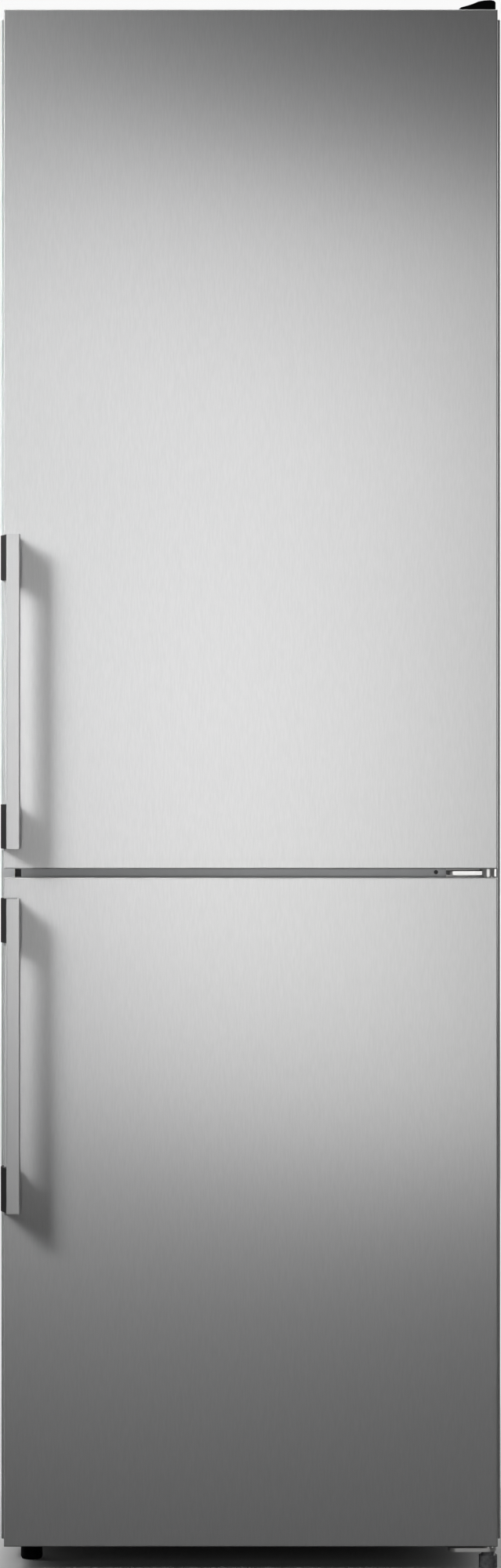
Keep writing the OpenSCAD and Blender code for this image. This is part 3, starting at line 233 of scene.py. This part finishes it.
def poured_polyurethane():
    """Rigid foam poured between sheet and liner: matt straw yellow with closed cells."""
    material, tree, shader = surface("poured polyurethane foam", "#dcc389", Roughness=0.9)
    mottle(tree, shader, (18, 18, 18), ("#d2b678", "#e6d09b"), grain=3)
    # Cells of 0.3 mm are drawn 2 mm wide.
    skin(tree, shader, 2, 0.3)
    return material


def extruded_pvc():
    """Soft PVC gasket, extruded and welded at its corners: pale gray and waxy, a little translucent."""
    material, tree, shader = surface("extruded soft PVC", "#c3c5c7", Roughness=0.48, IOR=1.53,
                                     Subsurface_Weight=0.08, Subsurface_Radius=(0.004, 0.004, 0.004))
    mottle(tree, shader, (8, 8, 8), ("#bdbfc1", "#cacccd"))
    skin(tree, shader, 1.2, 0.015)
    return material


def toughened_glass():
    """Float glass, toughened: clear, with the green of its iron and the waves that the rollers leave."""
    material, tree, shader = surface("toughened float glass", "#e6f3ec", Roughness=0.02, IOR=1.52,
                                     Transmission_Weight=0.95)
    mottle(tree, shader, (60, 200, 60), ("#e2f2ea", "#e9f4ee"))
    skin(tree, shader, 60, 0.01)
    return material


def crystal_polystyrene():
    """Crystal polystyrene, moulded thin: clear with a cool tint, hazed where the melt met."""
    material, tree, shader = surface("crystal polystyrene", "#f3f8fa", Roughness=0.08, IOR=1.59,
                                     Transmission_Weight=0.92)
    mottle(tree, shader, (25, 25, 25), ("#eff5f8", "#f7fafb"), (0.06, 0.12))
    skin(tree, shader, 18, 0.02)
    return material


def stoved_enamel():
    """Black enamel, sprayed and stoved: a wet black gloss over slight orange peel."""
    material, tree, shader = surface("stoved black enamel", "#0e0e0f", Roughness=0.3, Coat_Weight=0.6,
                                     Coat_Roughness=0.12)
    mottle(tree, shader, (30, 30, 30), ("#0b0b0c", "#131314"), (0.26, 0.38))
    skin(tree, shader, 2.5, 0.02)
    return material


def drawn_copper():
    """Copper pipe, drawn and left bare: warm metal, browner and duller where it has tarnished."""
    material, tree, shader = surface("drawn copper", "#c98a63", Metallic=1, Roughness=0.28)
    mottle(tree, shader, (14, 14, 40), ("#a9694a", "#d79a72"), (0.40, 0.22), grain=3)
    return material


def rolled_aluminium():
    """Mill-finish aluminium, cold rolled: a bright soft gray with rolling lines."""
    material, tree, shader = surface("cold rolled aluminium", "#d3d5d7", Metallic=1, Roughness=0.36)
    # Rolling lines under 0.1 mm wide are drawn 1 mm wide.
    mottle(tree, shader, (1, 1, 30), ("#cccecf", "#d9dadc"), (0.32, 0.40), grain=2)
    return material


def knurled_nylon_painted_light():
    """Gray nylon foot, moulded and then knurled on a lathe: glossy, with small glints in the shade. Its gray
    is partly its own and partly painted light, lightened for the light it catches under the door.
    """
    # Painted light: the even gray and both mottle tones are partly the foot's own gray and partly lightened
    # for the light it catches in the shade under the door.
    material, tree, shader = surface("knurled nylon with painted light", "#6c6c6e", Roughness=0.22, IOR=1.53)
    mottle(tree, shader, (5, 5, 5), ("#606062", "#78787a"))
    # The knurl's ribs are 0.5 mm apart and are drawn 1.5 mm apart.
    skin(tree, shader, 1.5, 0.06)
    return material


def moulded_rubber():
    """Black rubber, press moulded: matt and faintly dusty."""
    material, tree, shader = surface("press moulded rubber", "#161616", Roughness=0.75, IOR=1.52)
    mottle(tree, shader, (12, 12, 12), ("#121212", "#1e1e1d"))
    skin(tree, shader, 1.2, 0.03)
    return material


finishes = {
    "stainless": brushed_stainless(),
    "handle_steel": satin_stainless(),
    "silver_paint": lacquered_sheet(),
    "zinc_sheet": galvanised_sheet(),
    "hinge_steel": nickel_plated_steel(),
    "black_plastic": black_moulded_abs(),
    "gray_plastic": silver_lacquered_abs(),
    "white_liner": formed_polystyrene(),
    "white_plastic": white_moulded_abs(),
    "foam": poured_polyurethane(),
    "gasket": extruded_pvc(),
    "glass": toughened_glass(),
    "clear_plastic": crystal_polystyrene(),
    "black_enamel": stoved_enamel(),
    "copper": drawn_copper(),
    "bare_aluminium": rolled_aluminium(),
    "black_rubber": moulded_rubber(),
}

for part in frame["record"]["subparts"]:
    materials = frame["nodes"][part["node"]].data.materials
    materials.clear()
    materials.append(finishes[part["material_slot"]])
# The right foot is grayer and glossier than the other black mouldings. Its gray is partly its own and partly
# painted light, for the light it catches under the door.
frame["nodes"]["foot_right"].data.materials[0] = knurled_nylon_painted_light()


def soften(width_mm, segments, *names):
    """Breaks the sharp edges of CAD nodes by a small round, as a press tool or a mould does."""
    sharp = math.radians(40)
    for name in names:
        bevel = frame["nodes"][name].modifiers.new("edge_round", "BEVEL")
        bevel.width = width_mm / 1000
        bevel.segments = segments
        bevel.limit_method = "ANGLE"
        bevel.angle_limit = sharp
        bevel.harden_normals = True


# Folded sheet has edges of about its own thickness, and mouldings have 0.3 to 1 mm.
# The right foot's rim is rounder.
soften(0.4, 2, "hinge_top", "hinge_mid", "hinge_bottom")
soften(0.5, 2, "cabinet_shell", "mid_rail", "mid_rail_ends", "foot_left", "wall_spacers", "drain_pan",
       "terminal_box", "air_duct", "control_housing", "temperature_knob", "shelf_trims")
soften(0.5, 3, "fridge_handle_bar", "freezer_handle_bar", "fridge_handle_brackets",
       "freezer_handle_brackets")
soften(0.6, 3, "hinge_cover")
soften(3, 4, "foot_right")


def swept_frame(name, profile, low, high, corner=0.006, steps=6):
    """A profile of inward and forward points, swept round a rectangle in XZ whose corners are round."""
    corners = ((high[0] - corner, high[1] - corner, 0), (low[0] + corner, high[1] - corner, 90),
               (low[0] + corner, low[1] + corner, 180), (high[0] - corner, low[1] + corner, 270))
    points, faces = [], []
    for x, z, start in corners:
        for step in range(steps + 1):
            turn = math.radians(start + 90 * step / steps)
            for inward, y in profile:
                reach = corner - inward
                points.append((x + math.cos(turn) * reach, y, z + math.sin(turn) * reach))
    around, across = 4 * (steps + 1), len(profile)
    for ring in range(around):
        for spot in range(across):
            next_ring, next_spot = (ring + 1) % around, (spot + 1) % across
            faces.append((ring * across + spot, next_ring * across + spot,
                          next_ring * across + next_spot, ring * across + next_spot))
    mesh = bpy.data.meshes.new(name)
    mesh.from_pydata(points, [], faces)
    mesh.shade_smooth()
    piece = bpy.data.objects.new(name, mesh)
    bpy.context.collection.objects.link(piece)
    return piece


def bellows_gasket(door):
    """Soft gasket: a dart strip on the door, a folded bellows, and a square tube that holds the magnet."""
    (x0, y0, z0), (x1, y1, z1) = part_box(door + "_gasket")
    width, depth = 0.013, y1 - y0
    # One side of the section, as shares of its width and depth. The other side mirrors it.
    folds = ((0.1, 0), (0.1, 0.16), (0.2, 0.24), (0.2, 0.3), (0.08, 0.38), (0.08, 0.46), (0.19, 0.54),
             (0.19, 0.6), (0.12, 0.66), (0.12, 0.93), (0.17, 1))
    profile = [(u * width, y0 + v * depth) for u, v in folds]
    profile += [((1 - u) * width, y0 + v * depth) for u, v in reversed(folds)]
    piece = swept_frame(door + "_bellows_gasket", profile, (x0, z0), (x1, z1))
    piece.data.materials.append(finishes["gasket"])
    rounding = piece.modifiers.new("soft_folds", "SUBSURF")
    rounding.levels = rounding.render_levels = 1
    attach(piece, door + "_door")
    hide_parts(door + "_gasket")
    return piece


gaskets = [bellows_gasket("fridge"), bellows_gasket("freezer")]


def studio_floor():
    """Plain pale floor that runs out into the white room.

    The doors mirror it as dim as the photograph shows.
    """
    half = 30
    mesh = bpy.data.meshes.new("studio_floor")
    mesh.from_pydata([(-half, -half, 0), (half, -half, 0), (half, half, 0), (-half, half, 0)], [],
                     [(0, 1, 2, 3)])
    floor = bpy.data.objects.new("studio_floor", mesh)
    bpy.context.collection.objects.link(floor)
    white_paper, gray_paper, mirrored_paper = linear("#e9e9e9"), linear("#7c7c7c"), linear("#383838")
    material, tree, shader = surface("pale studio paper", "#e9e9e9", Roughness=0.9,
                                     Emission_Color=(1, 1, 1, 1))
    seen = add(tree, "LightPath").outputs["Is Camera Ray"]
    place = add(tree, "TexCoord").outputs["Object"]
    reach = add(tree, "VectorMath", {0: place}, operation="LENGTH").outputs["Value"]
    # Next to the object the paper keeps its shadow. From a step away it is evenly pale, by its own glow.
    shadow_ends, pale_starts, pale_glow = 0.45, 1.6, 0.6
    near = add(tree, "MapRange", {"Value": reach, "From Min": shadow_ends, "From Max": pale_starts},
               interpolation_type="SMOOTHSTEP").outputs["Result"]
    paper = add(tree, "Mix", {"Factor": near, "A": white_paper, "B": gray_paper}, data_type="RGBA")
    tone = add(tree, "Mix", {"Factor": seen, "A": mirrored_paper, "B": paper.outputs["Result"]},
               data_type="RGBA")
    tree.links.new(tone.outputs["Result"], shader.inputs["Base Color"])
    step = add(tree, "MapRange", {"Value": near, "To Max": pale_glow}).outputs["Result"]
    # Far off more glow takes it up to the white wall.
    rise_starts, rise_ends, added_glow = 3, 14, 0.33
    rise = {"Value": reach, "From Min": rise_starts, "From Max": rise_ends, "To Max": added_glow}
    far = add(tree, "MapRange", rise, interpolation_type="SMOOTHSTEP").outputs["Result"]
    pale = add(tree, "Math", {0: step, 1: far}, operation="ADD").outputs["Value"]
    glow = add(tree, "Math", {0: pale, 1: seen}, operation="MULTIPLY").outputs["Value"]
    tree.links.new(glow, shader.inputs["Emission Strength"])
    mesh.materials.append(material)


def studio_room():
    """White behind the object, for the camera, for gloss and through glass.

    The doors face a dim room, as in the photograph.
    """
    white, lit_wall, dim_room = 0.95, 0.75, 0.015
    # How far a ray has to point backwards, from 0 to 1, to start to meet the wall, and to meet all of it.
    wall_starts, wall_full = 0.1, 0.7
    world = bpy.data.worlds.new("studio_room")
    world.use_nodes = True
    tree = world.node_tree
    tree.nodes.clear()
    way = add(tree, "SeparateXYZ", {"Vector": add(tree, "TexCoord").outputs["Generated"]}).outputs["Y"]
    turned_back = {"Value": way, "From Min": wall_starts, "From Max": wall_full}
    behind = add(tree, "MapRange", turned_back).outputs["Result"]
    wall = add(tree, "MapRange", {"Value": behind, "To Min": dim_room, "To Max": lit_wall}).outputs["Result"]
    ray = add(tree, "LightPath").outputs
    gloss = add(tree, "Math", {0: ray["Is Glossy Ray"], 1: behind}, operation="MULTIPLY").outputs["Value"]
    clear = add(tree, "Math", {0: ray["Is Camera Ray"], 1: ray["Is Transmission Ray"]},
                operation="MAXIMUM").outputs["Value"]
    seen = add(tree, "Math", {0: clear, 1: gloss}, operation="MAXIMUM").outputs["Value"]
    level = add(tree, "Mix", {"Factor": seen, "A": wall, "B": white}, data_type="FLOAT")
    back = add(tree, "Background", {"Color": (1, 1, 1, 1), "Strength": level.outputs["Result"]})
    add(tree, "OutputWorld", {"Surface": back.outputs["Background"]})
    bpy.context.scene.world = world


def softbox(name, place, aim, size, radiance, roll=0, spread=math.pi):
    """A plain soft lamp that faces a point.

    Its face is as bright as radiance, before a grid narrows its spread.
    """
    width, height = size
    data = bpy.data.lights.new(name, "AREA")
    data.shape = "RECTANGLE"
    data.size = width
    data.size_y = height
    data.spread = spread
    data.energy = math.pi * radiance * width * height
    lamp = bpy.data.objects.new(name, data)
    lamp.location = place
    lamp.rotation_euler = (Vector(aim) - Vector(place)).to_track_quat("-Z", "Y").to_euler()
    lamp.rotation_euler.rotate_axis("Z", roll)
    lamp.visible_camera = False
    bpy.context.collection.objects.link(lamp)
    return lamp


def leaning_screen():
    """In front: a tall screen that the doors mirror softly.

    It leans to the right, and its panels are dimmed one by one.
    """
    # The lean in radians, and how far to the right of the middle the right column meets the floor.
    lean, foot = 0.185, 0.164
    away, panel_width, column_step = 5.6, 1.365, 0.45
    # Four rows of panels stand between these heights. Each column gives their radiances, the lowest first.
    edges = (0, 0.5, 1.1, 1.75, 2.42)
    right_column = (1.35, 1.0, 0.87, 0.2)
    left_column = (0, 0.6, 0.75, 1.35)
    for row, (right, left) in enumerate(zip(right_column, left_column)):
        middle = (edges[row] + edges[row + 1]) / 2
        height = (edges[row + 1] - edges[row]) / math.cos(lean)
        for side, radiance, shift in (("right", right, 0), ("left", left, column_step)):
            if radiance:
                x = foot + middle * math.tan(lean) - shift
                softbox(f"{side}_panel_{row}", place=(x, -away, middle), aim=(x / 2, 0, middle),
                        size=(panel_width, height), radiance=radiance, roll=-lean)


def studio_lamps():
    """The gridded key lamps, a strip overhead, and the soft lamps behind the plane of the doors."""
    # On the left: a gridded key lamp that draws the handles' slanting shadows, with a weak one below it.
    key_size, key_grid = (0.56, 0.94), 0.757
    softbox("key_lamp", place=(-1.45, -1.25, 2.078), aim=(-0.45, door_front, 1.258), size=key_size,
            radiance=2.4, spread=key_grid)
    softbox("low_key_lamp", place=(-1.45, -1.25, 1.6), aim=(-0.45, door_front, 0.8), size=key_size,
            radiance=0.6, spread=key_grid)
    # Overhead: a strip that brightens the top edges of the doors and handles.
    softbox("edge_strip", place=(0, -0.75, 3.2), aim=(0, -0.45, 0), size=(1.5, 0.2), radiance=1.0,
            spread=1.2)
    # Behind the plane of the doors: these light the top, the sides and the back, and draw the bright edges.
    softbox("top_lamp", place=(0, 1.3, 3.7), aim=(0, 1.3, 0), size=(3.2, 2.9), radiance=0.4)
    softbox("right_lamp", place=(3.0, 1.7, 1.4), aim=(0.3, 0.2, 1.0), size=(2.4, 1.8), radiance=1.9)
    softbox("left_lamp", place=(-2.6, 1.2, 2.7), aim=(-0.3, 0.2, 0.9), size=(2.8, 2.9), radiance=1.3)
    softbox("back_lamp", place=(0.9, 4.4, 1.5), aim=(0, 0.3, 0.9), size=(2.4, 1.8), radiance=3.4)


def light_only(group_name, lamp, pieces):
    """Lets a lamp light these pieces alone."""
    group = bpy.data.collections.new(group_name)
    for piece in pieces:
        group.objects.link(piece)
    lamp.light_linking.receiver_collection = group


def linked_lamps():
    """Two soft lamps in front that leave the doors' steel alone, because it mirrors a dim room."""
    # Over the camera: for the open compartments and the doors' insides, at the level of their own colours.
    slots = ("white_liner", "white_plastic", "glass", "clear_plastic", "foam", "bare_aluminium")
    parts = [part for part in frame["record"]["subparts"] if part["material_slot"] in slots]
    inner_pieces = [frame["nodes"][part["node"]] for part in parts]
    inside_lamp = softbox("inside_lamp", place=(0, -3.4, 2.3), aim=(0, 0, 0.95), size=(2.6, 1.8),
                          radiance=4.6)
    light_only("inside", inside_lamp, inner_pieces + gaskets)
    # Low down: for the bright hinge plates and the gray foot.
    plates = [frame["nodes"][name] for name in ("hinge_mid", "hinge_bottom", "foot_right")]
    plate_lamp = softbox("plate_lamp", place=(0.3, -1.6, 0.5), aim=(0.25, -0.3, 0.4), size=(1, 1),
                         radiance=1.0)
    light_only("plates", plate_lamp, plates)


studio_floor()
studio_room()
leaning_screen()
studio_lamps()
linked_lamps()
bpy.context.scene.view_settings.view_transform = "Standard"
